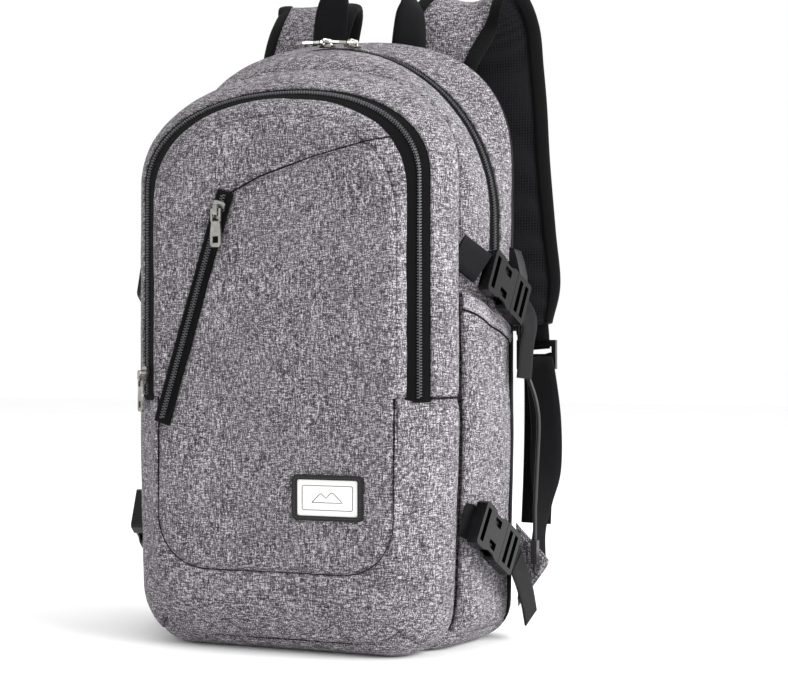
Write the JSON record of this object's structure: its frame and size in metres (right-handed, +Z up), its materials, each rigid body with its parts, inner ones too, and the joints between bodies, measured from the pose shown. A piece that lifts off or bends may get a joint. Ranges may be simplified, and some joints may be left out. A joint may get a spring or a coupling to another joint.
{
  "type": "laptop backpack",
  "caption": "Grey heather laptop backpack with front pocket, diagonal zip, compression straps, side pockets and a USB charging port with its short cable",
  "frame": {"origin": "middle of the flat base, on the surface the bag stands on", "axes": "+Z up, front panel faces -Y, padded back faces +Y, +X is the side with the charging port"},
  "size_m": [0.3442, 0.2285, 0.5383],
  "materials": {
    "heather_canvas": "two-tone grey heather canvas weave",
    "lining": "plain black lining",
    "air_mesh": "black air mesh over foam",
    "zip_tape": "black zip tape and nylon coil",
    "nickel": "polished nickel plate",
    "label_black": "black moulded label frame",
    "label_white": "white printed plate with a plain geometric motif",
    "webbing": "black polypropylene webbing",
    "buckle_plastic": "satin black acetal",
    "cable_black": "black cable jacket"
  },
  "bodies": {
    "bag": {"front_panel_main": "heather_canvas", "front_panel_upper": "heather_canvas", "front_lower_panel": "heather_canvas", "front_gusset": "heather_canvas", "middle_wall": "lining", "mid_gusset": "heather_canvas", "rear_gusset": "heather_canvas", "side_panel_right": "heather_canvas", "side_panel_left": "heather_canvas", "base_panel": "heather_canvas", "back_panel": "air_mesh", "back_pads": "air_mesh", "laptop_divider": "lining", "side_pocket_right": "heather_canvas", "side_pocket_left": "heather_canvas", "pocket_hem_right": "heather_canvas", "pocket_hem_left": "heather_canvas", "front_zip_tape": "zip_tape", "front_zip_teeth": "zip_tape", "main_zip_tape": "zip_tape", "main_zip_teeth": "zip_tape", "diagonal_zip_tape": "zip_tape", "diagonal_zip_teeth": "zip_tape", "label_frame": "label_black", "label_plate": "label_white", "shoulder_pad_right": "heather_canvas", "shoulder_pad_left": "heather_canvas", "strap_anchors": "air_mesh", "shoulder_webbing_right": "webbing", "shoulder_webbing_left": "webbing", "corner_tab_right": "heather_canvas", "corner_tab_left": "heather_canvas", "buckle_socket_top_right": "buckle_plastic", "buckle_socket_bottom_right": "buckle_plastic", "buckle_socket_top_left": "buckle_plastic", "buckle_socket_bottom_left": "buckle_plastic", "compression_strap_top_right": "webbing", "compression_strap_bottom_right": "webbing", "compression_strap_top_left": "webbing", "compression_strap_bottom_left": "webbing", "usb_port_housing": "buckle_plastic", "usb_socket": "nickel"},
    "diagonal_zip_slider": {"diagonal_zip_slider": "nickel"},
    "diagonal_zip_pull": {"diagonal_zip_pull": "nickel"},
    "front_zip_slider": {"front_zip_slider": "nickel"},
    "front_zip_pull": {"front_zip_pull": "nickel"},
    "main_zip_slider_left": {"main_zip_slider_left": "nickel"},
    "main_zip_slider_right": {"main_zip_slider_right": "nickel"},
    "main_zip_pull_left": {"main_zip_pull_left": "nickel"},
    "main_zip_pull_right": {"main_zip_pull_right": "nickel"},
    "buckle_plug_top_right": {"buckle_plug_top_right": "buckle_plastic"},
    "buckle_plug_bottom_right": {"buckle_plug_bottom_right": "buckle_plastic"},
    "buckle_plug_top_left": {"buckle_plug_top_left": "buckle_plastic"},
    "buckle_plug_bottom_left": {"buckle_plug_bottom_left": "buckle_plastic"},
    "haul_loop": {"haul_loop": "webbing"},
    "ladder_lock_right": {"ladder_lock_right": "buckle_plastic"},
    "ladder_lock_left": {"ladder_lock_left": "buckle_plastic"},
    "cable": {"cable_usb_plug": "cable_black", "charging_cable": "cable_black", "cable_end_plug": "cable_black"}
  },
  "joints": [
    {"name": "diagonal_zip_travel", "type": "slide", "parent": "bag", "child": "diagonal_zip_slider", "axis": [-0.2945, 0, -0.9557], "range_m": [0, 0.15]},
    {"name": "diagonal_pull_swing", "type": "hinge", "parent": "diagonal_zip_slider", "child": "diagonal_zip_pull", "pos_m": [-0.04212, -0.08295, 0.32862], "axis": [-1, 0, 0], "range_deg": [0, 150]},
    {"name": "front_zip_travel", "type": "slide", "parent": "bag", "child": "front_zip_slider", "axis": [0, 0, 1], "range_m": [0, 0.125]},
    {"name": "front_pull_swing", "type": "hinge", "parent": "front_zip_slider", "child": "front_zip_pull", "pos_m": [-0.11374, -0.06737, 0.206], "axis": [-0.7863, 0.6178, 0], "range_deg": [0, 150]},
    {"name": "main_zip_travel_left", "type": "hinge", "parent": "bag", "child": "main_zip_slider_left", "pos_m": [0, 0.025, 0.325], "axis": [0, -1, 0], "range_deg": [0, 86]},
    {"name": "main_zip_travel_right", "type": "hinge", "parent": "bag", "child": "main_zip_slider_right", "pos_m": [0, 0.025, 0.325], "axis": [0, 1, 0], "range_deg": [0, 77]},
    {"name": "main_pull_swing_left", "type": "hinge", "parent": "main_zip_slider_left", "child": "main_zip_pull_left", "pos_m": [0.00128, 0.025, 0.47149], "axis": [-0.848, 0.5299, 0.0074], "range_deg": [0, 130]},
    {"name": "main_pull_swing_right", "type": "hinge", "parent": "main_zip_slider_right", "child": "main_zip_pull_right", "pos_m": [0.02418, 0.025, 0.46949], "axis": [-0.8364, 0.5299, 0.14], "range_deg": [0, 130]},
    {"name": "buckle_release_top_right", "type": "slide", "parent": "bag", "child": "buckle_plug_top_right", "axis": [0.2156, 0.8645, -0.454], "range_m": [0, 0.024], "deforming": ["compression_strap_top_right"]},
    {"name": "buckle_release_bottom_right", "type": "slide", "parent": "bag", "child": "buckle_plug_bottom_right", "axis": [0.2052, 0.8229, -0.5299], "range_m": [0, 0.024], "deforming": ["compression_strap_bottom_right"]},
    {"name": "buckle_release_top_left", "type": "slide", "parent": "bag", "child": "buckle_plug_top_left", "axis": [-0.2156, 0.8645, -0.454], "range_m": [0, 0.024], "deforming": ["compression_strap_top_left"]},
    {"name": "buckle_release_bottom_left", "type": "slide", "parent": "bag", "child": "buckle_plug_bottom_left", "axis": [-0.2052, 0.8229, -0.5299], "range_m": [0, 0.024], "deforming": ["compression_strap_bottom_left"]},
    {"name": "haul_loop_fold", "type": "hinge", "parent": "bag", "child": "haul_loop", "pos_m": [0.018, 0.068, 0.479], "axis": [1, 0, 0], "range_deg": [0, 55]},
    {"name": "ladder_lock_tilt_right", "type": "hinge", "parent": "bag", "child": "ladder_lock_right", "pos_m": [0.149, 0.122, 0.235], "axis": [1, 0, 0], "range_deg": [-20, 20], "deforming": ["shoulder_webbing_right"]},
    {"name": "ladder_lock_tilt_left", "type": "hinge", "parent": "bag", "child": "ladder_lock_left", "pos_m": [-0.126, 0.122, 0.235], "axis": [1, 0, 0], "range_deg": [-20, 20], "deforming": ["shoulder_webbing_left"]},
    {"name": "charging_plug_pull", "type": "slide", "parent": "bag", "child": "cable", "axis": [0, 0, -1], "range_m": [0, 0.013]}
  ]
}
